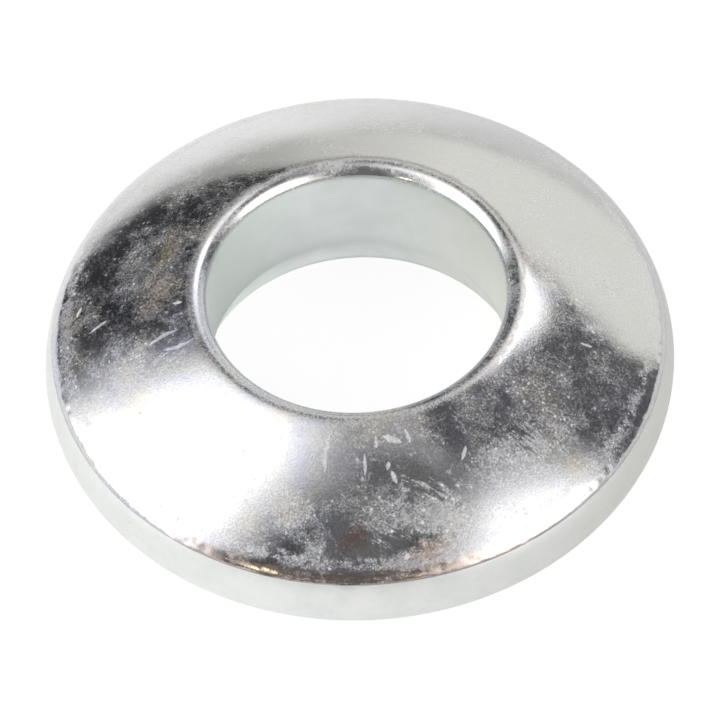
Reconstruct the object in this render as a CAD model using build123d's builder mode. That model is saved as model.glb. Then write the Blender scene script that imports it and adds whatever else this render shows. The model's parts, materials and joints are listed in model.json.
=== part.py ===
from build123d import *
from math import sqrt
import os

os.makedirs("parts", exist_ok=True)

# A thick, bright plated steel washer with a domed top, lying on its flat underside.
# The origin is the centre of the underside and +Z is the axis of the hole.
# All sizes are in millimetres.

# Rim
outer_diameter = 36.0        # across the widest line of the rim
lower_edge_radius = 2.3      # round from the underside up to the widest line
rim_lean = 0.58              # how far the rim leans in from there, up to the dome
shoulder_radius = 1.5        # round between the rim and the dome

# Domed top, part of a ball centred below the washer on its axis
dome_radius = 28.5
dome_top_height = 9.33       # where dome and hole would meet without the lip round
lip_radius = 0.85            # round between the dome and the hole

# Hole
bore_diameter = 17.0         # straight wall of the hole
foot_diameter = 18.6         # mouth of the hole in the underside
taper_height = 2.4           # the wall widens over this height down to the foot

outer_radius = outer_diameter / 2
rim_top_radius = outer_radius - rim_lean
bore_radius = bore_diameter / 2
foot_radius = foot_diameter / 2
underside_radius = outer_radius - lower_edge_radius
dome_centre_height = dome_top_height - sqrt(dome_radius**2 - bore_radius**2)
rim_top_height = dome_centre_height + sqrt(dome_radius**2 - rim_top_radius**2)

# Corners of the half section, as distance from the axis and height
foot = (foot_radius, 0)
underside_end = (underside_radius, 0)
widest = (outer_radius, lower_edge_radius)
rim_top = (rim_top_radius, rim_top_height)
dome_top = (bore_radius, dome_top_height)
taper_top = (bore_radius, taper_height)

# The washer is one half section turned once round the axis
with BuildPart() as washer:
    with BuildSketch(Plane.XZ) as section:
        with BuildLine():
            Line(foot, underside_end)
            # The lower edge rounds up to the widest line, then the rim leans inward
            TangentArc(underside_end, widest, tangent=(1, 0))
            TangentArc(widest, rim_top, tangent=(0, 1))
            # The dome rises to the hole, which drops straight and then tapers out to its foot
            RadiusArc(rim_top, dome_top, -dome_radius)
            Line(dome_top, taper_top)
            Line(taper_top, foot)
        make_face()
        fillet(section.vertices().sort_by_distance(rim_top)[0], shoulder_radius)
        fillet(section.vertices().sort_by_distance(dome_top)[0], lip_radius)
    revolve(axis=Axis.Z)

washer.part.label = "washer"
export_step(washer.part, "parts/washer.step")
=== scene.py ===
import json
import math

import bmesh
import bpy
from mathutils import Matrix, Vector, noise


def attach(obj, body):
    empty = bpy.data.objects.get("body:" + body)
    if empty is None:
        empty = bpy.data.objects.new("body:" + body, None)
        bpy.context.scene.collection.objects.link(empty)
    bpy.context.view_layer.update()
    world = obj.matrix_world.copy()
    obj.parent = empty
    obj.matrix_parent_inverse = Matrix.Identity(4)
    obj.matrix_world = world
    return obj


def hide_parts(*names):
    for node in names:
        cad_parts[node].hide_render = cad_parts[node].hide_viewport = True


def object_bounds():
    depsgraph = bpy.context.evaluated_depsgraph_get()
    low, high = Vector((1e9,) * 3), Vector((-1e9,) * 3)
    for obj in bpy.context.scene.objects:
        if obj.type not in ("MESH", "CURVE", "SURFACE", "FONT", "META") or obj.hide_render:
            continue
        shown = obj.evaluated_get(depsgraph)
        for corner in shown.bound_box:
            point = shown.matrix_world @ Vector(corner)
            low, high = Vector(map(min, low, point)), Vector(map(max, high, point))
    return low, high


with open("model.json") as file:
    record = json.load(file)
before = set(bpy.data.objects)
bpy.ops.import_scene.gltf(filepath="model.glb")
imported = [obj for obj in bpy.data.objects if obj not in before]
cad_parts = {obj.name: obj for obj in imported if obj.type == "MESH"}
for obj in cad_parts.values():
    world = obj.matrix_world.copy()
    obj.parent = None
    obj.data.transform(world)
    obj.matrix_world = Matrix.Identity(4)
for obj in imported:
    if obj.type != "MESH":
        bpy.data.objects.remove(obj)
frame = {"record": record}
cadLow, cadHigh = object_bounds()
boreMount = next(mount for mount in frame["record"]["mounts"] if mount["name"] == "bore")
boreRadius = boreMount["dims"]["r_mm"] / 1000  # metres
print("frame loaded")


# Washer: one half section, walked from the foot of the hole round to the underside, then turned about Z

washerShape = {  # metres, added to what the frame gives
    "footWiden": 0.0008,  # the hole's mouth in the underside is this much wider each side
    "footTaper": 0.0024,  # height over which the hole widens
    "lipRadius": 0.00085,
    "domeRadius": 0.0285,
    "shoulderRadius": 0.0015,
    "rimLean": 0.00058,  # how far the rim leans in, up to the dome
    "lowerEdgeRadius": 0.0023,
    "turnSteps": 720,
    "lipSteps": 14,
    "domeSteps": 20,
    "shoulderSteps": 10,
    "rimSteps": 8,
    "lowerEdgeSteps": 12,
    "wallSteps": 6,
    "weldDistance": 0.0000001,
    "nickDepth": 0.00004,  # how deep the dents along the crease go
    "nicksPerMetre": 900,
    "nickFineness": 2.6,  # the smaller dents are this much closer together
    "nickShare": 0.6,  # what each of the two sizes adds
    "nickReach": 0.0003,  # how far below the crease the dents go
    "nickFadeOnDome": 0.00012,
    "nickFadeOnRim": 0.0002,
    "satinLip": 0.06,  # share of the lip's width that has the hole's finish
}


def circleMeeting(centreA, radiusA, centreB, radiusB):  # the outer of the two points where the circles cross
    gap = centreB - centreA
    along = (gap.length_squared + radiusA**2 - radiusB**2) / (2 * gap.length)
    aside = math.sqrt(radiusA**2 - along**2)
    direction = gap.normalized()
    return centreA + direction * along + Vector((-direction.y, direction.x)) * aside


def sectionPoints(shape):  # (distance from the axis, height) of every joint of the section
    outer, top = cadHigh.x, cadHigh.z
    lipRadius, shoulder, lowerEdge = shape["lipRadius"], shape["shoulderRadius"], shape["lowerEdgeRadius"]
    dome, lean = shape["domeRadius"], shape["rimLean"]
    lipCentre = Vector((boreRadius + lipRadius, top - lipRadius))
    domeToLip = dome - lipRadius
    domeCentre = Vector((0, lipCentre.y - math.sqrt(domeToLip**2 - lipCentre.x**2)))
    rimTopRadius = outer - lean
    rimTop = domeCentre.y + math.sqrt(dome**2 - rimTopRadius**2)
    rise = rimTop - lowerEdge
    rimRadius = (lean**2 + rise**2) / (2 * lean)
    rimCentre = Vector((outer - rimRadius, lowerEdge))
    shoulderCentre = circleMeeting(rimCentre, rimRadius - shoulder, domeCentre, dome - shoulder)
    return {
        "foot": Vector((boreRadius + shape["footWiden"], 0)),
        "taperTop": Vector((boreRadius, shape["footTaper"])),
        "wallTop": Vector((boreRadius, lipCentre.y)),
        "lipCentre": lipCentre,
        "lipEnd": domeCentre + (lipCentre - domeCentre).normalized() * dome,
        "domeCentre": domeCentre,
        "domeEnd": domeCentre + (shoulderCentre - domeCentre).normalized() * dome,
        "shoulderCentre": shoulderCentre,
        "crease": rimCentre + (shoulderCentre - rimCentre).normalized() * rimRadius,
        "rimCentre": rimCentre,
        "widest": Vector((outer, lowerEdge)),
        "lowerEdgeCentre": Vector((outer - lowerEdge, lowerEdge)),
        "undersideEnd": Vector((outer - lowerEdge, 0)),
    }


def lineTo(bm, vert, end, steps):  # extrudes a straight run of edges to the point
    start = Vector((vert.co.x, vert.co.z))
    stride = (end - start) / steps
    for _ in range(steps):
        vert = bmesh.ops.extrude_vert_indiv(bm, verts=[vert])["verts"][0]
        bmesh.ops.translate(bm, verts=[vert], vec=(stride.x, 0, stride.y))
    return vert


def arcTo(bm, vert, centre, end, steps):  # spins the last point round the centre, the way the clock turns
    startAngle = math.atan2(vert.co.z - centre.y, vert.co.x - centre.x)
    endAngle = math.atan2(end.y - centre.y, end.x - centre.x)
    spun = bmesh.ops.spin(
        bm, geom=[vert], cent=(centre.x, 0, centre.y), axis=(0, 1, 0), dvec=(0, 0, 0),
        angle=(startAngle - endAngle) % math.tau, steps=steps, use_merge=False,
        use_normal_flip=False, use_duplicate=False,
    )
    return next(part for part in spun["geom_last"] if isinstance(part, bmesh.types.BMVert))


def turnWasher(points, shape):
    bm = bmesh.new()
    vert = bmesh.ops.create_vert(bm, co=(points["foot"].x, 0, points["foot"].y))["vert"][0]
    vert = lineTo(bm, vert, points["taperTop"], shape["wallSteps"])
    vert = lineTo(bm, vert, points["wallTop"], shape["wallSteps"])
    vert = arcTo(bm, vert, points["lipCentre"], points["lipEnd"], shape["lipSteps"])
    vert = arcTo(bm, vert, points["domeCentre"], points["domeEnd"], shape["domeSteps"])
    vert = arcTo(bm, vert, points["shoulderCentre"], points["crease"], shape["shoulderSteps"])
    vert = arcTo(bm, vert, points["rimCentre"], points["widest"], shape["rimSteps"])
    vert = arcTo(bm, vert, points["lowerEdgeCentre"], points["undersideEnd"], shape["lowerEdgeSteps"])
    lineTo(bm, vert, points["foot"], shape["wallSteps"])
    bmesh.ops.remove_doubles(bm, verts=bm.verts, dist=shape["weldDistance"])
    bmesh.ops.spin(
        bm, geom=bm.verts[:] + bm.edges[:], cent=(0, 0, 0), axis=(0, 0, 1), dvec=(0, 0, 0),
        angle=math.tau, steps=shape["turnSteps"], use_merge=True,
        use_normal_flip=False, use_duplicate=False,
    )
    bmesh.ops.remove_doubles(bm, verts=bm.verts, dist=shape["weldDistance"])
    bmesh.ops.recalc_face_normals(bm, faces=bm.faces)
    return bm


def nickCrease(bm, points, shape):  # small dents where the dome meets the rim, never outward
    heart = points["shoulderCentre"]
    domeEnd, lowest = points["domeEnd"].x, points["crease"].y - shape["nickReach"]
    for vert in bm.verts:
        around = Vector((vert.co.x, vert.co.y, 0))
        if around.length < domeEnd or vert.co.z < lowest:
            continue
        middle = around.normalized() * heart.x + Vector((0, 0, heart.y))
        outward = (vert.co - middle).normalized()
        fine = noise.noise(vert.co * shape["nicksPerMetre"] * shape["nickFineness"])
        broad = noise.noise(vert.co * shape["nicksPerMetre"])
        sunk = max(0.0, shape["nickShare"] * fine + shape["nickShare"] * broad) * shape["nickDepth"]
        fromDome = min(1.0, (around.length - domeEnd) / shape["nickFadeOnDome"])
        fromRim = min(1.0, (vert.co.z - lowest) / shape["nickFadeOnRim"])
        vert.co -= outward * sunk * fromDome * fromRim


def finishFaces(bm, points, shape):  # 0 bright dome and lip, 1 satin rim and underside, 2 satin hole
    wallEnd = boreRadius + shape["lipRadius"] * shape["satinLip"]
    for face in bm.faces:
        centre = face.calc_center_median()
        reach = Vector((centre.x, centre.y)).length
        face.smooth = True
        if centre.z < points["crease"].y and reach > points["foot"].x:
            face.material_index = 1
        elif reach < wallEnd or centre.z < points["taperTop"].y:
            face.material_index = 2
        else:
            face.material_index = 0


def objectFrom(bm, name):  # ends the mesh and puts it in the scene
    mesh = bpy.data.meshes.new(name)
    bm.to_mesh(mesh)
    bm.free()
    made = bpy.data.objects.new(name, mesh)
    bpy.context.scene.collection.objects.link(made)
    return made


washerPoints = sectionPoints(washerShape)
washerBm = turnWasher(washerPoints, washerShape)
nickCrease(washerBm, washerPoints, washerShape)
finishFaces(washerBm, washerPoints, washerShape)
washer = objectFrom(washerBm, "domedWasher")
print("washer turned:", len(washer.data.polygons), "faces")


# Shader helpers

def addNode(tree, kind, inputs=None, **settings):
    node = tree.nodes.new(kind)
    for name, value in settings.items():
        setattr(node, name, value)
    for name, value in (inputs or {}).items():
        if isinstance(value, bpy.types.NodeSocket):
            tree.links.new(value, node.inputs[name])
        else:
            node.inputs[name].default_value = value
    return node


def calc(tree, operation, first, second=0.0, third=0.0, clamp=False):
    inputs = {0: first, 1: second, 2: third}
    return addNode(tree, "ShaderNodeMath", inputs, operation=operation, use_clamp=clamp).outputs[0]


def calcVector(tree, operation, first, second):
    return addNode(tree, "ShaderNodeVectorMath", {0: first, 1: second}, operation=operation).outputs[0]


def scaleVector(tree, vector, scale):
    inputs = {0: vector, "Scale": scale}
    return addNode(tree, "ShaderNodeVectorMath", inputs, operation="SCALE").outputs[0]


def lengthOf(tree, vector):
    return addNode(tree, "ShaderNodeVectorMath", {0: vector}, operation="LENGTH").outputs["Value"]


def splitVector(tree, vector):
    return addNode(tree, "ShaderNodeSeparateXYZ", {"Vector": vector}).outputs


def turnFlat(tree, vector, angle):  # turns the vector about Z
    inputs = {"Vector": vector, "Angle": angle}
    return addNode(tree, "ShaderNodeVectorRotate", inputs, rotation_type="Z_AXIS").outputs[0]


def rampBetween(tree, value, low, high, toLow=0.0, toHigh=1.0, curve="LINEAR"):
    inputs = {"Value": value, "From Min": low, "From Max": high, "To Min": toLow, "To Max": toHigh}
    return addNode(tree, "ShaderNodeMapRange", inputs, interpolation_type=curve).outputs["Result"]


def noiseOf(tree, coords, scale, detail=2.0, roughness=0.5, distortion=0.0):
    inputs = {
        "Vector": coords, "Scale": scale, "Detail": detail,
        "Roughness": roughness, "Distortion": distortion,
    }
    return addNode(tree, "ShaderNodeTexNoise", inputs).outputs["Fac"]


def centredNoise(tree, coords, scale):  # three clouds in one vector, each centred on 0
    inputs = {"Vector": coords, "Scale": scale, "Detail": 1.0}
    cloud = addNode(tree, "ShaderNodeTexNoise", inputs).outputs["Color"]
    return calcVector(tree, "SUBTRACT", cloud, (0.5, 0.5, 0.5))


def mixColours(tree, factor, first, second):
    return addNode(tree, "ShaderNodeMix", {0: factor, 6: first, 7: second}, data_type="RGBA").outputs[2]


def tallest(tree, masks):
    highest = masks[0]
    for mask in masks[1:]:
        highest = calc(tree, "MAXIMUM", highest, mask)
    return highest


def ringBetween(tree, reach, inner, outer, soft):  # 1 between the two distances, fading over the soft width
    rise = rampBetween(tree, reach, inner - soft, inner + soft)
    fall = rampBetween(tree, reach, outer - soft, outer + soft, 1.0, 0.0)
    return calc(tree, "MULTIPLY", rise, fall)


# Shared effects, each a shader group that gives one mask

markShapes = {  # shares of a mark's own size, unless noted
    "taperPower": 3.0,  # a higher power keeps a stroke wide nearer to its ends
    "leastWidth": 0.00001,  # keeps the ends of a stroke from dividing by 0
    "scratchScatter": 0.8,  # how far scratches stray from even rows
    "scratchBend": 1.6,
    "veinCloud": (3.0, 0.6, 0.6),  # detail, roughness, distortion
    "veinPatches": 1.7,  # the patches' scale to that of the threads
    "veinCover": 0.9,  # level of the patch cloud that an amount of 0 asks for
    "veinEdge": 0.15,
    "leastPit": 0.0001,  # keeps a pit from dividing by 0
    "faintestPit": 0.3,  # strength of the weakest pit, the strongest being 1
    "strokeRagged": 1.8,
    "strokeEdge": 0.55,
    "blotRagged": 2.4,
    "blotEdge": (1.1, 0.1),  # where a blot begins, and where it is full
}


def newGroup(name, vectors, numbers):
    group = bpy.data.node_groups.new(name, "ShaderNodeTree")
    for label in vectors:
        group.interface.new_socket(label, in_out="INPUT", socket_type="NodeSocketVector")
    for label in numbers:
        group.interface.new_socket(label, in_out="INPUT", socket_type="NodeSocketFloat")
    group.interface.new_socket("Mask", in_out="OUTPUT", socket_type="NodeSocketFloat")
    return group, group.nodes.new("NodeGroupInput").outputs, group.nodes.new("NodeGroupOutput").inputs


def useGroup(tree, group, inputs):
    return addNode(tree, "ShaderNodeGroup", inputs, node_tree=group).outputs["Mask"]


def strokeMask(group, along, aside, length, width, shapes):  # a tapered line, 1 at its middle
    reached = calc(group, "ABSOLUTE", calc(group, "DIVIDE", along, length))
    taper = calc(group, "SUBTRACT", 1.0, calc(group, "POWER", reached, shapes["taperPower"]), clamp=True)
    aside = calc(group, "ABSOLUTE", aside)
    near = calc(group, "DIVIDE", aside, calc(group, "MULTIPLY_ADD", taper, width, shapes["leastWidth"]))
    return calc(group, "SUBTRACT", 1.0, near, clamp=True)


def scratchGroup(shapes):  # short strokes, one at most in each cell, laid in the X and Y of the coordinates
    group, given, result = newGroup("scatteredScratches", ["Vector"], ["Cells", "Length", "Width", "Amount"])
    scaled = scaleVector(group, given["Vector"], given["Cells"])
    inputs = {"Vector": scaled, "Scale": 1.0, "Randomness": shapes["scratchScatter"]}
    cell = addNode(group, "ShaderNodeTexVoronoi", inputs, voronoi_dimensions="2D")
    local = calcVector(group, "SUBTRACT", scaled, cell.outputs["Position"])
    chance = addNode(group, "ShaderNodeSeparateColor", {"Color": cell.outputs["Color"]}).outputs
    turn = calc(group, "MULTIPLY", calc(group, "SUBTRACT", chance["Red"], 0.5), math.tau)
    part = splitVector(group, turnFlat(group, local, turn))
    bend = calc(group, "MULTIPLY", calc(group, "SUBTRACT", chance["Green"], 0.5), shapes["scratchBend"])
    aside = calc(group, "MULTIPLY_ADD", calc(group, "MULTIPLY", part["X"], part["X"]), bend, part["Y"])
    length = calc(group, "MULTIPLY", given["Length"], chance["Green"])
    line = strokeMask(group, part["X"], aside, length, given["Width"], shapes)
    present = calc(group, "LESS_THAN", chance["Blue"], given["Amount"])
    group.links.new(calc(group, "MULTIPLY", line, present), result["Mask"])
    return group


def veinGroup(shapes):  # thin wandering threads where a cloud crosses its middle, kept only in patches
    group, given, result = newGroup("threadVeins", ["Vector"], ["Scale", "Width", "Amount"])
    cloud = noiseOf(group, given["Vector"], given["Scale"], *shapes["veinCloud"])
    offMiddle = calc(group, "ABSOLUTE", calc(group, "SUBTRACT", cloud, 0.5))
    thread = calc(group, "SUBTRACT", 1.0, calc(group, "DIVIDE", offMiddle, given["Width"]), clamp=True)
    patchScale = calc(group, "MULTIPLY", given["Scale"], shapes["veinPatches"])
    patch = noiseOf(group, given["Vector"], patchScale, 1.0)
    least = calc(group, "MULTIPLY", calc(group, "SUBTRACT", 1.0, given["Amount"]), shapes["veinCover"])
    kept = rampBetween(group, patch, least, calc(group, "ADD", least, shapes["veinEdge"]))
    group.links.new(calc(group, "MULTIPLY", thread, kept), result["Mask"])
    return group


def pitGroup(shapes):  # small round pits or specks of uneven size, one at most in each cell
    group, given, result = newGroup("scatteredPits", ["Vector"], ["Cells", "Size", "Amount"])
    inputs = {"Vector": given["Vector"], "Scale": given["Cells"], "Randomness": 1.0}
    cell = addNode(group, "ShaderNodeTexVoronoi", inputs)
    chance = addNode(group, "ShaderNodeSeparateColor", {"Color": cell.outputs["Color"]}).outputs
    size = calc(group, "MULTIPLY_ADD", given["Size"], chance["Green"], shapes["leastPit"])
    dot = calc(group, "SUBTRACT", 1.0, calc(group, "DIVIDE", cell.outputs["Distance"], size), clamp=True)
    present = calc(group, "LESS_THAN", chance["Blue"], given["Amount"])
    strength = rampBetween(group, chance["Red"], 0.0, 1.0, shapes["faintestPit"], 1.0)
    present = calc(group, "MULTIPLY", present, strength)
    group.links.new(calc(group, "MULTIPLY", dot, present), result["Mask"])
    return group


def newPlacedGroup(name):  # a group for one mark lying flat at its place; part says how far along and aside
    numbers = ["Turn", "Length", "Width", "Bend", "Ragged"]
    group, given, result = newGroup(name, ["Vector", "Place"], numbers)
    local = calcVector(group, "SUBTRACT", given["Vector"], given["Place"])
    turned = turnFlat(group, local, calc(group, "MULTIPLY", given["Turn"], -1.0))
    return group, given, result, splitVector(group, turned)


def strokeGroup(shapes):  # one tapered stroke
    group, given, result, part = newPlacedGroup("placedStroke")
    square = calc(group, "MULTIPLY", part["X"], part["X"])
    aside = calc(group, "MULTIPLY_ADD", square, given["Bend"], part["Y"])
    shake = calc(group, "MULTIPLY", given["Width"], shapes["strokeRagged"])
    aside = calc(group, "MULTIPLY_ADD", given["Ragged"], shake, aside)
    line = strokeMask(group, part["X"], aside, given["Length"], given["Width"], shapes)
    mask = rampBetween(group, line, 0.0, shapes["strokeEdge"], curve="SMOOTHSTEP")
    group.links.new(mask, result["Mask"])
    return group


def blotGroup(shapes):  # one patch with a ragged edge
    group, given, result, part = newPlacedGroup("placedBlot")
    along = calc(group, "DIVIDE", part["X"], given["Length"])
    aside = calc(group, "DIVIDE", part["Y"], given["Width"])
    along = calc(group, "MULTIPLY", along, along)
    aside = calc(group, "MULTIPLY", aside, aside)
    distance = calc(group, "SQRT", calc(group, "ADD", along, aside))
    distance = calc(group, "MULTIPLY_ADD", given["Ragged"], shapes["blotRagged"], distance)
    mask = rampBetween(group, distance, *shapes["blotEdge"], curve="SMOOTHSTEP")
    group.links.new(mask, result["Mask"])
    return group


def placeMark(tree, group, flat, ragged, x, y, turn, length, width, bend=0.0):
    inputs = {
        "Vector": flat, "Ragged": ragged, "Place": (x, y, 0), "Turn": math.radians(turn),
        "Length": length, "Width": width, "Bend": bend,
    }
    return useGroup(tree, group, inputs)


scratches, veins, pits = scratchGroup(markShapes), veinGroup(markShapes), pitGroup(markShapes)
stroke, blot = strokeGroup(markShapes), blotGroup(markShapes)


# Finishes

def emptyMaterial(name):
    material = bpy.data.materials.new(name)
    material.use_nodes = True
    tree = material.node_tree
    tree.nodes.clear()
    return material, tree, tree.nodes.new("ShaderNodeOutputMaterial")


def newFinish(name):
    material, tree, output = emptyMaterial(name)
    metal = addNode(tree, "ShaderNodeBsdfPrincipled", {"Metallic": 1.0})
    tree.links.new(metal.outputs["BSDF"], output.inputs["Surface"])
    place = addNode(tree, "ShaderNodeTexCoord").outputs["Object"]
    inputs = {"Vector": place, "Scale": (1000, 1000, 1000)}
    coords = addNode(tree, "ShaderNodeMapping", inputs).outputs[0]  # millimetres
    return material, tree, metal, coords


# Below, a cloud is (cells per millimetre, detail, roughness) and a range is (from, to) for 0 to 1, or
# (from, to, result at from, result at to).

domeFinish = {  # lengths in millimetres, depths in metres
    "zinc": (0.80, 0.80, 0.80, 1),
    "blue": (0.71, 0.72, 0.80, 1),
    "brown": (0.81, 0.77, 0.70, 1),
    "dull": (0.47, 0.47, 0.50, 1),
    "tarnish": (0.52, 0.49, 0.455, 1),  # the rubbed ring on top of the lip
    # dirt with painted shade: a dark line along the crease, stronger at the front
    "creaseDirtAndShade": (0.30, 0.28, 0.31, 1),
    # painted shade: a dark brown band on the shoulder's front arc
    "shoulderPaintedShade": (0.60, 0.50, 0.45, 1),
    "roughness": 0.10,
    "bloomRoughness": 0.16,
    "markRoughness": 0.12,
    "foldRoughness": 0.08,
    "bloomWhite": 0.46,  # how far the bloom and the marks turn from metal to a pale dry film
    "markWhite": 0.68,
    "bumpDepth": 0.000003,
    "bumpBroad": 0.5,  # the broad cloud's share of the bump beside the fine one
    "domeFoot": (3.5, 4.5),  # heights between which the placed marks set in
    "handled": (6.0, 1.0, 0.15, 1.0),  # wear by Y, more at the front
    "handledRight": 8.0,  # right of this X the wear starts nearer to the front
    "fineCloud": (7.5, 2.0, 0.75),
    "broadCloud": (1.7, 5.0, 0.78),
    "raggedCloud": (1.8, 4.0, 0.68),
    "brownCloud": (0.34, 3.0),
    "brownRange": (0.51, 0.69),
    "blueCloud": (0.38, 3.0),
    "blueShift": (40, 0, 0),
    "blueRange": (0.42, 0.58),
    "blueSides": (4.0, -6.0, 0.4, 1.0),  # by X, more at the left
    "dullRange": (0.62, 0.36),  # by the fine cloud
    "dullHandled": (0.0, 1.0, 0.10, 0.55),
    "threads": {"Scale": 0.20, "Width": 0.006, "Amount": 0.45},
    "threadStrength": 0.3,
    "tarnishSides": (-9.0, -3.0, 0.6, 0.8),  # by X
    "tarnishFront": (-7.5, -4.0, 0.5, 1.0),  # by Y
    # where the shoulder's painted shade sets in, by Y
    "shoulderShadeFront": (-12.5, -15.5, 0.0, 0.9),
    # the crease's painted shade grows towards the front
    "creaseShadeFront": (-13.5, -16.0, 0.3, 1.0),
}
domeRings = {  # start, end, soft width, how far it wanders
    "lip": (9.40, 9.70, 0.10, 0.50),  # distances from the axis
    "fold": (8.72, 9.50, 0.12, 0.50),
    "worn": (16.5, 17.0, 0.15, 0.70),
    "dirtAndShade": (4.27, 4.40, 0.05, 0.35),  # heights; a darker line along the crease, dirt with painted shade
    "wanderCloud": (1.1, 4.0, 0.6),
    "wornCloud": (2.2, 4.0, 0.7),
    "wornRange": (0.42, 0.56, 0.1, 1.0),
    "dirtAndShadeCloud": (0.4, 3.0),
    "dirtAndShadeRange": (0.36, 0.58, 0.5, 1.0),
    "dirtAndShadeReach": (17.0, 17.2),
    "shoulderReach": (17.0, 17.25),
    "shoulderWander": 0.35,
}
domeBloom = {  # the dull film that breaks the mirror up into specks
    "densityCloud": (0.33, 5.0, 0.62),
    "densityRange": (0.36, 0.64, -0.12, 0.16),
    "drawnCloud": (1.0, 3.0, 0.7),  # for streaks, after the coordinates are drawn out
    "brushTurn": -28,  # degrees
    "brushDraw": (2.6, 0.24, 0.8),  # millimetres per cell
    "brushRange": (0.40, 0.74, -0.4, 1.0),
    "lineDraw": (0.8, 0.8, 9.0),  # fine lines round the shoulder, cells per millimetre
    "lineRange": (0.35, 0.65, -0.12, 0.16),
    "wipeTurn": 38,
    "wipeDraw": (1.3, 0.22, 0.8),
    "wipeRange": (0.40, 0.68, -0.25, 1.0),
    "wiped": (-11.0, -4.0, 30, 2.4, 1.2),  # x, y, turn, half length, half width of the wiped patch
    "shares": {  # what each mask adds to the density
        "worn": 0.36, "lip": 0.22, "fold": 0.10, "brushed": 0.62, "wiped": 0.40, "lines": 1.0,
    },
    "mistRange": (0.47, 0.78),  # by the density and the mean of the fine and broad clouds
    "grainRange": (0.36, 0.62, 0.72, 1.05),  # by the fine cloud
}
domeSpecks = {  # cells per millimetre, size in cells, share of the cells that have one
    "small": {"Cells": 3.1, "Size": 0.45, "Amount": 0.62},
    "large": {"Cells": 1.4, "Size": 0.27, "Amount": 0.42},
}
domeScratches = {  # the same, with length and width in cells
    "straight": {"Cells": 0.30, "Length": 0.36, "Width": 0.03, "Amount": 0.30},
    "shaken": {"Cells": 0.55, "Length": 0.45, "Width": 0.03, "Amount": 0.22},
}
domeMarks = {
    "shakeScale": 5.0,  # of the small cloud that makes specks and scratches uneven
    "shakeReach": 0.22,
    "speckClusters": (-0.08, 0.16, 0.32, 1.0),  # specks gather where the bloom is dense
    "speckEdge": (0.0, 0.55),
    "scratchStrength": 0.35,
}
domeStrokes = {  # x, y, turn in degrees, half length, half width, bend
    "leftLong": (-11.1, -2.2, 14, 0.90, 0.15, 0.15),
    "leftLow": (-10.3, -3.2, 3, 0.85, 0.14, -0.2),
    "leftShort": (-10.2, -0.2, -8, 0.28, 0.13, 0.0),
    "leftOuter": (-14.8, 0.1, 20, 0.55, 0.12, 0.1),
    "leftTick": (-15.9, 1.8, 65, 0.36, 0.13, 0.0),
    "frontTall": (-2.2, -11.1, 78, 1.10, 0.17, 0.12),
    "frontThin": (0.0, -11.9, 90, 0.60, 0.12, 0.0),
    "frontTick": (0.7, -10.7, 90, 0.34, 0.14, 0.0),
    "frontDab": (1.6, -10.6, -18, 0.56, 0.24, 0.0),
    "frontRight": (2.5, -10.4, 112, 0.42, 0.14, 0.0),
    "frontLow": (1.3, -12.0, 80, 0.24, 0.15, 0.0),
    "frontDot": (1.6, -12.6, 110, 0.36, 0.17, 0.0),
    "rightTall": (5.6, -11.2, 70, 0.44, 0.12, 0.0),
    "rightDash": (12.9, -3.6, -5, 0.34, 0.13, 0.0),
}
domeStains = {  # x, y, turn, half length, half width, colour, strength, added bloom
    "frostLow": (3.6, -14.4, -15, 3.2, 1.5, (0.80, 0.80, 0.80, 1), 0.3, 0.26),
    "goldBack": (-10.7, 3.9, 70, 1.7, 0.9, (0.76, 0.62, 0.40, 1), 0.8, 0.03),
    "brownLeft": (-11.6, 0.6, 65, 2.4, 1.2, (0.70, 0.61, 0.53, 1), 0.8, 0.04),
    "blueLeft": (-10.5, -2.7, 20, 1.7, 0.9, (0.60, 0.63, 0.78, 1), 0.8, -0.16),
    "frostLeft": (-13.2, -3.4, 15, 3.4, 1.7, (0.82, 0.82, 0.86, 1), 0.4, 0.20),
    "frostFront": (-4.5, -14.0, -40, 3.2, 1.6, (0.80, 0.80, 0.80, 1), 0.3, 0.10),
    "frostMiddle": (1.0, -14.0, 0, 4.6, 1.7, (0.80, 0.80, 0.80, 1), 0.3, 0.07),
    "frostRight": (8.8, -10.9, 40, 4.2, 2.0, (0.80, 0.80, 0.80, 1), 0.3, 0.20),
    "rustFront": (-0.8, -15.5, 20, 1.5, 0.8, (0.66, 0.48, 0.44, 1), 0.9, 0.02),
    "rustRight": (3.2, -16.2, 15, 1.6, 0.6, (0.72, 0.55, 0.48, 1), 0.9, 0.06),
    "goldRight": (12.0, -10.8, 40, 1.1, 0.8, (0.90, 0.82, 0.66, 1), 0.5, 0.06),
    "creamLip": (-4.9, -8.9, -25, 1.6, 1.3, (0.84, 0.78, 0.68, 1), 0.6, 0.06),
    "paleFront": (-3.0, -15.8, -5, 0.8, 0.45, (0.82, 0.84, 0.80, 1), 0.9, 0.28),
    "smudgeRight": (12.6, -0.8, -20, 1.2, 0.7, (0.82, 0.82, 0.78, 1), 0.5, 0.22),
    "smudgeLow": (13.6, -2.3, 20, 1.0, 0.5, (0.82, 0.80, 0.74, 1), 0.5, 0.22),
}
domeBrushing = {  # x, y, turn, half length, half width of patches of fine parallel streaks
    "frontMiddle": (1.1, -15.5, -25, 1.9, 0.8),
    "frontRight": (3.7, -13.2, -28, 2.2, 1.4),
    "rightLow": (9.6, -10.4, -35, 1.8, 1.2),
}


def wanderingRing(tree, wander, reach, inner, outer, soft, sway):
    return ringBetween(tree, calc(tree, "MULTIPLY_ADD", wander, sway, reach), inner, outer, soft)


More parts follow.
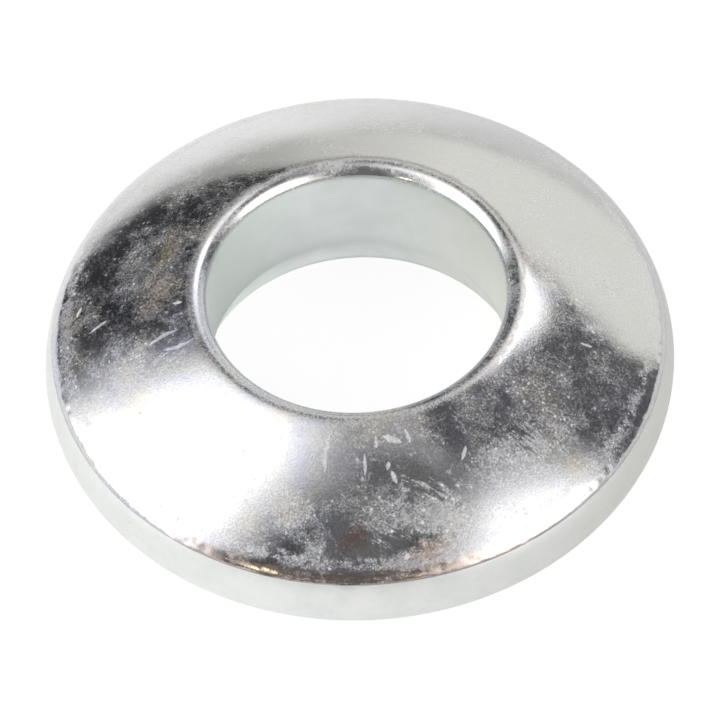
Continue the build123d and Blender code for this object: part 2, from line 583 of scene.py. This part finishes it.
def ringMasks(tree, coords, height, reach, values):
    wander = calc(tree, "SUBTRACT", noiseOf(tree, coords, *values["wanderCloud"]), 0.5)
    broad = noiseOf(tree, coords, *values["dirtAndShadeCloud"])
    lip = wanderingRing(tree, wander, reach, *values["lip"])
    fold = wanderingRing(tree, wander, reach, *values["fold"])
    worn = wanderingRing(tree, wander, reach, *values["worn"])
    patchy = noiseOf(tree, coords, *values["wornCloud"])
    worn = calc(tree, "MULTIPLY", worn, rampBetween(tree, patchy, *values["wornRange"]))
    dirtAndShade = wanderingRing(tree, wander, height, *values["dirtAndShade"])
    dirtAndShade = calc(tree, "MULTIPLY", dirtAndShade, rampBetween(tree, reach, *values["dirtAndShadeReach"]))
    dirtAndShade = calc(tree, "MULTIPLY", dirtAndShade, rampBetween(tree, broad, *values["dirtAndShadeRange"]))
    edge = calc(tree, "MULTIPLY_ADD", wander, values["shoulderWander"], reach)
    shoulder = rampBetween(tree, edge, *values["shoulderReach"])
    return {"lip": lip, "fold": fold, "worn": worn, "dirtAndShade": dirtAndShade, "shoulder": shoulder}


def tintedZinc(tree, coords, across, handled, values):  # plain zinc under faint brown and blue clouds
    brown = rampBetween(tree, noiseOf(tree, coords, *values["brownCloud"]), *values["brownRange"])
    moved = calcVector(tree, "ADD", coords, values["blueShift"])
    blue = rampBetween(tree, noiseOf(tree, moved, *values["blueCloud"]), *values["blueRange"])
    blue = calc(tree, "MULTIPLY", blue, rampBetween(tree, across, *values["blueSides"]))
    colour = mixColours(tree, calc(tree, "MULTIPLY", brown, handled), values["zinc"], values["brown"])
    return mixColours(tree, calc(tree, "MULTIPLY", blue, handled), colour, values["blue"])


def drawOut(tree, coords, turn, draw):  # coordinates for streaks that lie along the turned X
    inputs = {"Vector": coords, "Rotation": (0, 0, math.radians(turn)), "Scale": draw}
    return addNode(tree, "ShaderNodeMapping", inputs, vector_type="TEXTURE").outputs[0]


def streakMasks(tree, coords, flat, ragged, upper, shoulder, values):
    swept = drawOut(tree, coords, values["brushTurn"], values["brushDraw"])
    patches = [placeMark(tree, blot, flat, ragged, *place) for place in domeBrushing.values()]
    patches = tallest(tree, patches)
    streaks = rampBetween(tree, noiseOf(tree, swept, *values["drawnCloud"]), *values["brushRange"])
    brushed = calc(tree, "MULTIPLY", calc(tree, "MULTIPLY", streaks, patches), upper)

    inputs = {"Vector": coords, "Scale": values["lineDraw"]}
    squeezed = addNode(tree, "ShaderNodeMapping", inputs).outputs[0]
    lines = rampBetween(tree, noiseOf(tree, squeezed, *values["drawnCloud"]), *values["lineRange"])
    lines = calc(tree, "MULTIPLY", lines, shoulder)

    wiped = drawOut(tree, coords, values["wipeTurn"], values["wipeDraw"])
    wiped = rampBetween(tree, noiseOf(tree, wiped, *values["drawnCloud"]), *values["wipeRange"])
    wiped = calc(tree, "MULTIPLY", wiped, placeMark(tree, blot, flat, ragged, *values["wiped"]))
    return {"brushed": brushed, "lines": lines, "wiped": wiped}


def markMask(tree, coords, flat, ragged, upper, density, values):  # specks, scattered and placed scratches
    shake = scaleVector(tree, centredNoise(tree, coords, values["shakeScale"]), values["shakeReach"])
    shaken = calcVector(tree, "ADD", coords, shake)
    clusters = rampBetween(tree, density, *values["speckClusters"])
    specks = [useGroup(tree, pits, {"Vector": shaken, **sizes}) for sizes in domeSpecks.values()]
    specks = tallest(tree, specks)
    specks = calc(tree, "MULTIPLY", rampBetween(tree, specks, *values["speckEdge"]), clusters)
    scattered = tallest(tree, [
        useGroup(tree, scratches, {"Vector": coords, **domeScratches["straight"]}),
        useGroup(tree, scratches, {"Vector": shaken, **domeScratches["shaken"]}),
    ])
    scattered = calc(tree, "MULTIPLY", scattered, values["scratchStrength"])
    placed = [placeMark(tree, stroke, flat, ragged, *place) for place in domeStrokes.values()]
    placed = tallest(tree, placed)
    return tallest(tree, [specks, scattered, calc(tree, "MULTIPLY", placed, upper)])


# wear, tarnish and dirt, with painted shade on the shoulder's front and along the crease
def wornAndShadedColour(tree, coords, colour, fine, handled, part, rings, values):
    share = rampBetween(tree, fine, *values["dullRange"])
    share = calc(tree, "MULTIPLY", share, rampBetween(tree, handled, *values["dullHandled"]))
    colour = mixColours(tree, share, colour, values["dull"])
    threads = useGroup(tree, veins, {"Vector": coords, **values["threads"]})
    threads = calc(tree, "MULTIPLY", threads, values["threadStrength"])
    colour = mixColours(tree, threads, colour, values["dull"])
    rubbed = calc(tree, "MULTIPLY", rings["lip"], rampBetween(tree, part["X"], *values["tarnishSides"]))
    rubbed = calc(tree, "MULTIPLY", rubbed, rampBetween(tree, part["Y"], *values["tarnishFront"]))
    colour = mixColours(tree, rubbed, colour, values["tarnish"])
    # painted shade: darker brown on the front arc of the shoulder
    arc = rampBetween(tree, part["Y"], *values["shoulderShadeFront"])
    arc = calc(tree, "MULTIPLY", rings["shoulder"], arc)
    colour = mixColours(tree, arc, colour, values["shoulderPaintedShade"])
    # a dark line along the crease: dirt with painted shade, stronger at the front
    seam = calc(tree, "MULTIPLY", rings["dirtAndShade"], rampBetween(tree, part["Y"], *values["creaseShadeFront"]))
    return mixColours(tree, seam, colour, values["creaseDirtAndShade"])


def brightZinc(values, bloomValues):
    material, tree, metal, coords = newFinish("brightZinc")
    flat = calcVector(tree, "MULTIPLY", coords, (1, 1, 0))
    reach = lengthOf(tree, flat)
    part = splitVector(tree, coords)
    upper = rampBetween(tree, part["Z"], *values["domeFoot"])
    rings = ringMasks(tree, coords, part["Z"], reach, domeRings)
    rightward = calc(tree, "SUBTRACT", part["X"], values["handledRight"])
    rightward = calc(tree, "MAXIMUM", rightward, 0.0)
    handled = rampBetween(tree, calc(tree, "ADD", part["Y"], rightward), *values["handled"])

    fine = noiseOf(tree, coords, *values["fineCloud"])
    broad = noiseOf(tree, coords, *values["broadCloud"])
    ragged = calc(tree, "SUBTRACT", noiseOf(tree, coords, *values["raggedCloud"]), 0.5)
    colour = tintedZinc(tree, coords, part["X"], handled, values)

    density = noiseOf(tree, coords, *bloomValues["densityCloud"])
    density = rampBetween(tree, density, *bloomValues["densityRange"])
    for *place, shade, strength, bloomAdded in domeStains.values():
        mask = calc(tree, "MULTIPLY", placeMark(tree, blot, flat, ragged, *place), upper)
        colour = mixColours(tree, calc(tree, "MULTIPLY", mask, strength), colour, shade)
        density = calc(tree, "MULTIPLY_ADD", mask, bloomAdded, density)
    masks = {**rings, **streakMasks(tree, coords, flat, ragged, upper, rings["shoulder"], bloomValues)}
    for name, share in bloomValues["shares"].items():
        density = calc(tree, "MULTIPLY_ADD", masks[name], share, density)
    mist = calc(tree, "MULTIPLY_ADD", fine, 0.5, calc(tree, "MULTIPLY", broad, 0.5))
    bloom = rampBetween(tree, calc(tree, "ADD", mist, density), *bloomValues["mistRange"])
    bloom = calc(tree, "MULTIPLY", bloom, rampBetween(tree, fine, *bloomValues["grainRange"]))

    marks = markMask(tree, coords, flat, ragged, upper, density, domeMarks)
    rough = calc(tree, "MULTIPLY_ADD", bloom, values["bloomRoughness"], values["roughness"])
    rough = calc(tree, "MULTIPLY_ADD", marks, values["markRoughness"], rough)
    rough = calc(tree, "MULTIPLY_ADD", rings["fold"], values["foldRoughness"], rough)
    bare = calc(tree, "MULTIPLY_ADD", bloom, -values["bloomWhite"], 1.0)
    bare = calc(tree, "MULTIPLY_ADD", marks, -values["markWhite"], bare, clamp=True)
    colour = wornAndShadedColour(tree, coords, colour, fine, handled, part, rings, values)

    inputs = {"Distance": values["bumpDepth"], "Strength": 1.0}
    inputs["Height"] = calc(tree, "MULTIPLY_ADD", broad, values["bumpBroad"], fine)
    bump = addNode(tree, "ShaderNodeBump", inputs)
    tree.links.new(colour, metal.inputs["Base Color"])
    tree.links.new(rough, metal.inputs["Roughness"])
    tree.links.new(bare, metal.inputs["Metallic"])
    tree.links.new(bump.outputs["Normal"], metal.inputs["Normal"])
    return material


satinFinish = {
    "zinc": (0.86, 0.87, 0.86, 1),
    "dull": (0.78, 0.80, 0.79, 1),
    "smudge": (0.66, 0.67, 0.66, 1),
    "sideTintsAndShade": {  # a range of X in millimetres, and the colour there: a tint, and on the right a darker painted shade
        "left": ((-2, -16, 0.0, 0.3), (0.84, 0.86, 0.83, 1)),
        "right": ((4, 17, 0.0, 0.6), (0.82, 0.82, 0.76, 1)),
    },
    "grainDepth": 0.000002,
}
holeFinish = {
    "zinc": (0.82, 0.85, 0.85, 1),
    "dull": (0.77, 0.81, 0.79, 1),
    "smudge": (0.74, 0.78, 0.76, 1),
    # a tint each side, and on the left a darker painted shade
    "sideTintsAndShade": {
        "left": ((-2, -8, 0.0, 0.7), (0.74, 0.83, 0.77, 1)),
        "right": ((2, 8, 0.0, 0.7), (0.85, 0.86, 0.77, 1)),
    },
    "grainDepth": 0.0000012,
}
satinTexture = {  # the same for both
    "dullCloud": (0.5, 4.0, 0.6),
    "dullRange": (0.4, 0.7),
    "specks": {"Cells": 1.2, "Size": 0.16, "Amount": 0.25},
    "speckDepth": -3.0,  # to that of the grain
    "rubbedCloud": (1.6, 4.0, 0.7),
    "rubbedRange": (0.60, 0.74, 0.0, 0.35),
    "grainCloud": (9.0, 2.0, 0.6),
    "roughRange": (0.3, 0.7, 0.32, 0.42),
}


def satinZinc(name, values, texture):
    material, tree, metal, coords = newFinish(name)
    cloud = noiseOf(tree, coords, *texture["dullCloud"])
    dulled = rampBetween(tree, cloud, *texture["dullRange"])
    colour = mixColours(tree, dulled, values["zinc"], values["dull"])
    specks = useGroup(tree, pits, {"Vector": coords, **texture["specks"]})
    across = splitVector(tree, coords)["X"]
    # tints by side, partly painted shade
    for side, shade in values["sideTintsAndShade"].values():
        colour = mixColours(tree, rampBetween(tree, across, *side), colour, shade)
    rubbed = rampBetween(tree, noiseOf(tree, coords, *texture["rubbedCloud"]), *texture["rubbedRange"])
    colour = mixColours(tree, calc(tree, "MAXIMUM", specks, rubbed), colour, values["smudge"])
    grain = noiseOf(tree, coords, *texture["grainCloud"])
    rough = rampBetween(tree, cloud, *texture["roughRange"])
    inputs = {"Distance": values["grainDepth"], "Strength": 1.0}
    inputs["Height"] = calc(tree, "MULTIPLY_ADD", specks, texture["speckDepth"], grain)
    bump = addNode(tree, "ShaderNodeBump", inputs)
    tree.links.new(colour, metal.inputs["Base Color"])
    tree.links.new(rough, metal.inputs["Roughness"])
    tree.links.new(bump.outputs["Normal"], metal.inputs["Normal"])
    return material


washer.data.materials.append(brightZinc(domeFinish, domeBloom))
washer.data.materials.append(satinZinc("satinZinc", satinFinish, satinTexture))
washer.data.materials.append(satinZinc("holeZinc", holeFinish, satinTexture))
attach(washer, "root")
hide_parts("washer")
print("finishes made")


# Studio: white floor and surroundings, two soft boxes, pale cards and dark flags that the metal mirrors

studioFloor = {
    "reach": 6.0,  # metres
    "edges": 128,
    "drop": 0.00002,
    "colour": (0.90, 0.90, 0.89, 1),
    "cameraWhite": 0.8,
    "glow": 1.1,
    "mirrorWhite": 0.65,
    "mirrorNear": 1.07,  # what the metal sees of the floor close by and far off: a painted pool of light near the washer
    "mirrorFar": 0.78,
    "nearAndFar": (0.02, 0.20),
    "sides": (-0.35, 1.0),  # in washer radii left and right
    # painted shade on the floor, darker towards the right
    "sideGlow": (1.0, 0.62),
    "holeSides": (-0.8, 0.5),  # the same inside the hole, where the wall throws its shadow, in hole radii
    "holeSideGlow": (0.66, 1.10),
    "holeEdge": 0.4,  # from this share of the hole's radius the glow starts to fall, a painted shadow of the wall
    "holeEdgeGlow": 0.72,  # its share at the wall
}
studioCards = {  # corners: azimuth and elevation in degrees from the washer, azimuth 0 right and 90 behind
    "leftSoftBox": {
        "away": 1.5, "glow": 2.3, "tint": (1, 1, 1), "soft": 22,
        "corners": (
            (148, -20), (142, 19), (141, 27), (135, 40), (127, 47), (122, 56), (118, 67), (105, 79),
            (10, 86), (280, 81), (258, 70), (243, 57), (234, 44), (232, 25), (236, -20),
        ),
    },
    "rightSoftBox": {
        "away": 1.5, "glow": 2.75, "tint": (1, 1, 1), "soft": 22,
        "corners": (
            (360, -20), (360, 5), (1, 14), (7, 26), (10, 39), (5, 51), (354, 62),
            (326, 69), (297, 63), (280, 48), (282, 20), (284, -20),
        ),
    },
    "backPatch": {
        "away": 1.45, "glow": 2.0, "tint": (1, 1, 1), "soft": 5,
        "corners": (
            (55, 31), (48, 31), (42, 33), (36, 37), (32, 42), (28, 48), (25, 54), (20, 59),
            (40, 70), (66, 66), (86, 57), (83, 48), (68, 38),
        ),
    },
    "leftSpill": {
        "away": 1.7, "glow": 0.30, "tint": (1, 0.97, 0.9),
        "corners": ((215, 74), (232, 66), (238, 45), (245, -1), (215, -1)),
    },
    "backCard": {
        "away": 1.8, "glow": 0.83, "tint": (1, 1, 0.94), "fade": (78, 120, 0.24),
        "corners": (
            (26, -1), (28, 22), (29, 25), (32, 28), (38, 30), (43, 31), (48, 32), (55, 31.5),
            (70, 22), (86, 8.5), (96, 7.5), (101, 7), (105, 5), (114, 3), (126, 2), (129, -1),
        ),
    },
    "backUpper": {
        "away": 2.3, "glow": 0.78, "tint": (0.98, 1, 0.98),
        "corners": ((93, 26), (86, 24), (77, 26), (68, 32), (61, 39), (76, 62), (93, 58)),
    },
    "leftFlag": {
        "away": 2.4, "glow": 0.04, "tint": (0.88, 0.90, 1),
        "corners": ((90, -1), (170, -1), (165, 62), (130, 75), (70, 64), (58, 30)),
    },
    "rightFlag": {
        "away": 2.4, "glow": 0.12, "tint": (0.92, 0.92, 1),
        "corners": ((-15, -1), (34, -1), (60, 34), (64, 60), (40, 76), (340, 76), (330, 50), (345, 20)),
    },
    "frontFlag": {
        "away": 2.4, "glow": 0.16, "tint": (1, 1, 1),
        "corners": ((215, -1), (305, -1), (320, 50), (320, 74), (215, 74)),
    },
    "ceilingCard": {
        "away": 2.8, "glow": 0.36, "tint": (1, 0.99, 0.97),
        "corners": ((200, 62), (260, 66), (330, 62), (30, 55), (110, 50), (150, 55)),
    },
    "leftGlint": {
        "away": 1.4, "glow": 3.0, "tint": (1, 0.92, 0.70),
        "corners": ((231, 10), (239, 10), (238, 20), (231, 22)),
    },
    "rightGlint": {
        "away": 1.4, "glow": 1.15, "tint": (1, 0.93, 0.78),
        "corners": ((284, 4), (297, 12), (297, 30), (284, 16)),
    },
}
cardMake = {
    "cuts": 12,
    "borderHeights": (1.29, 1.46),  # metres
    "borderGlow": (0.05, 0.32),  # of a soft card's border below and above those heights
    "borderPower": 2.0,
}
studioAir = {"glow": 0.6, "seenGlow": 1.0}  # on surfaces, and as the camera and mirrors see it


def towards(azimuth, elevation):
    around, up = math.radians(azimuth), math.radians(elevation)
    return Vector((math.cos(up) * math.cos(around), math.cos(up) * math.sin(around), math.sin(up)))


def fadedGlow(tree, glow, fade):  # full up to the first azimuth, fallen to its share by the second
    first, second, share = fade
    part = splitVector(tree, addNode(tree, "ShaderNodeTexCoord").outputs["Object"])
    around = calc(tree, "ARCTAN2", part["Y"], part["X"])
    return rampBetween(tree, around, math.radians(first), math.radians(second), glow, glow * share)


def softGlow(tree, glow, make):  # falls towards the border of the card
    inset = addNode(tree, "ShaderNodeAttribute", attribute_name="inset").outputs["Fac"]
    share = calc(tree, "POWER", rampBetween(tree, inset, 0.0, 1.0), make["borderPower"])
    height = splitVector(tree, addNode(tree, "ShaderNodeTexCoord").outputs["Object"])["Z"]
    border = rampBetween(tree, height, *make["borderHeights"], *make["borderGlow"])
    return rampBetween(tree, share, 0.0, 1.0, border, glow)


def glowMaterial(name, card, make):
    material, tree, output = emptyMaterial(name)
    emission = addNode(tree, "ShaderNodeEmission", {"Color": (*card["tint"], 1), "Strength": card["glow"]})
    if "fade" in card:
        tree.links.new(fadedGlow(tree, card["glow"], card["fade"]), emission.inputs["Strength"])
    if "soft" in card:
        tree.links.new(softGlow(tree, card["glow"], make), emission.inputs["Strength"])
    tree.links.new(emission.outputs[0], output.inputs["Surface"])
    return material


def insetShare(direction, corners, soft):  # 0 on the card's border, 1 past the soft width in degrees
    nearest = math.radians(soft)
    for first, second in zip(corners, corners[1:] + corners[:1]):
        start, end = towards(*first), towards(*second)
        pole = start.cross(end).normalized()
        foot = (direction - pole * direction.dot(pole)).normalized()
        if start.cross(foot).dot(pole) < 0 or foot.cross(end).dot(pole) < 0:
            foot = max(start, end, key=direction.dot)
        nearest = min(nearest, direction.angle(foot, 0.0))
    return nearest / math.radians(soft)


def hangCard(name, card, make):  # a piece of a sphere round the washer
    bm = bmesh.new()
    ring = bmesh.ops.create_circle(bm, cap_ends=True, segments=len(card["corners"]), radius=1)["verts"]
    for vert, corner in zip(ring, card["corners"]):
        vert.co = towards(*corner)
    bmesh.ops.triangulate(bm, faces=bm.faces)
    bmesh.ops.subdivide_edges(bm, edges=bm.edges, cuts=make["cuts"], use_grid_fill=True)
    inset = bm.verts.layers.float.new("inset")
    for vert in bm.verts:
        direction = vert.co.normalized()
        if "soft" in card:
            vert[inset] = insetShare(direction, card["corners"], card["soft"])
        vert.co = direction * card["away"]
    hung = objectFrom(bm, name)
    hung.data.materials.append(glowMaterial(name, card, make))
    hung.visible_camera = False
    hung.visible_diffuse = name.endswith("SoftBox")
    hung.visible_shadow = False


def mirroredFloor(tree, place, reach, values):  # the floor's glow as the metal sees it, with a painted pool of light near the washer and painted shade by the hole's wall and on the right
    overall = rampBetween(tree, reach, *values["nearAndFar"], values["mirrorNear"], values["mirrorFar"])
    across = splitVector(tree, place)["X"]
    left, right = values["sides"]
    outside = rampBetween(tree, across, cadHigh.x * left, cadHigh.x * right, *values["sideGlow"])
    left, right = values["holeSides"]
    inside = rampBetween(tree, across, boreRadius * left, boreRadius * right, *values["holeSideGlow"])
    edge = boreRadius * values["holeEdge"]
    atWall = rampBetween(tree, reach, edge, boreRadius, 1.0, values["holeEdgeGlow"])
    inside = calc(tree, "MULTIPLY", inside, atWall)
    past = calc(tree, "GREATER_THAN", reach, boreRadius)
    return calc(tree, "MULTIPLY", overall, rampBetween(tree, past, 0.0, 1.0, inside, outside))


def layFloor(values):
    bm = bmesh.new()
    bmesh.ops.create_circle(bm, cap_ends=True, segments=values["edges"], radius=values["reach"])
    bmesh.ops.translate(bm, verts=bm.verts, vec=(0, 0, -values["drop"]))
    floor = objectFrom(bm, "studioFloor")
    material, tree, output = emptyMaterial("studioFloor")
    paper = addNode(tree, "ShaderNodeBsdfDiffuse", {"Color": values["colour"]})
    ray = addNode(tree, "ShaderNodeLightPath").outputs
    place = addNode(tree, "ShaderNodeTexCoord").outputs["Object"]
    reach = lengthOf(tree, place)
    mirrored = calc(tree, "ADD", ray["Is Glossy Ray"], ray["Is Transmission Ray"], clamp=True)
    inMetal = mirroredFloor(tree, place, reach, values)
    glow = rampBetween(tree, mirrored, 0.0, 1.0, values["glow"], inMetal)
    white = addNode(tree, "ShaderNodeEmission", {"Strength": glow})
    share = calc(tree, "MULTIPLY", ray["Is Camera Ray"], values["cameraWhite"])
    share = calc(tree, "MULTIPLY_ADD", mirrored, values["mirrorWhite"], share)
    mixed = addNode(tree, "ShaderNodeMixShader", {0: share, 1: paper.outputs[0], 2: white.outputs[0]})
    behind = addNode(tree, "ShaderNodeNewGeometry").outputs["Backfacing"]
    clear = addNode(tree, "ShaderNodeBsdfTransparent")
    fromBelow = calc(tree, "MULTIPLY", ray["Is Camera Ray"], behind)
    inputs = {0: fromBelow, 1: mixed.outputs[0], 2: clear.outputs[0]}
    opened = addNode(tree, "ShaderNodeMixShader", inputs)  # the underside shows through the floor
    tree.links.new(opened.outputs[0], output.inputs["Surface"])
    floor.data.materials.append(material)


def lightWorld(values):
    world = bpy.data.worlds.new("studioWorld")
    bpy.context.scene.world = world
    world.use_nodes = True
    tree = world.node_tree
    background = tree.nodes["Background"]
    ray = addNode(tree, "ShaderNodeLightPath").outputs
    seen = calc(tree, "ADD", ray["Is Camera Ray"], ray["Is Glossy Ray"])
    seen = calc(tree, "ADD", seen, ray["Is Transmission Ray"])
    background.inputs["Color"].default_value = (1, 1, 1, 1)
    strength = rampBetween(tree, seen, 0.0, 1.0, values["glow"], values["seenGlow"])
    tree.links.new(strength, background.inputs["Strength"])


lightWorld(studioAir)
layFloor(studioFloor)
for cardName, cardValues in studioCards.items():
    hangCard(cardName, cardValues, cardMake)
print("studio set")


# Camera

cameraView = {
    "elevation": 52.2,  # degrees above the horizon
    "roll": -2.865,
    "distance": 0.72,  # metres
    "lens": 626,  # millimetres
    "sensor": 36,
    "aim": (0.0000108, 0.001793, 0.0),
    "clip": (0.01, 20),
}


def placeCamera(view):
    elevation, roll = math.radians(view["elevation"]), math.radians(view["roll"])
    back = Vector((0, -math.cos(elevation), math.sin(elevation)))
    right = Vector((1, 0, 0))
    turned = Matrix.Rotation(roll, 3, back) @ Matrix((right, back.cross(right), back)).transposed()
    optics = bpy.data.cameras.new("camera")
    optics.lens = view["lens"]
    optics.sensor_width = view["sensor"]
    optics.clip_start, optics.clip_end = view["clip"]
    camera = bpy.data.objects.new("camera", optics)
    camera.matrix_world = Matrix.Translation(Vector(view["aim"]) + back * view["distance"]) @ turned.to_4x4()
    bpy.context.scene.collection.objects.link(camera)
    bpy.context.scene.camera = camera


placeCamera(cameraView)
bpy.context.scene.view_settings.view_transform = "Standard"
print("camera placed")
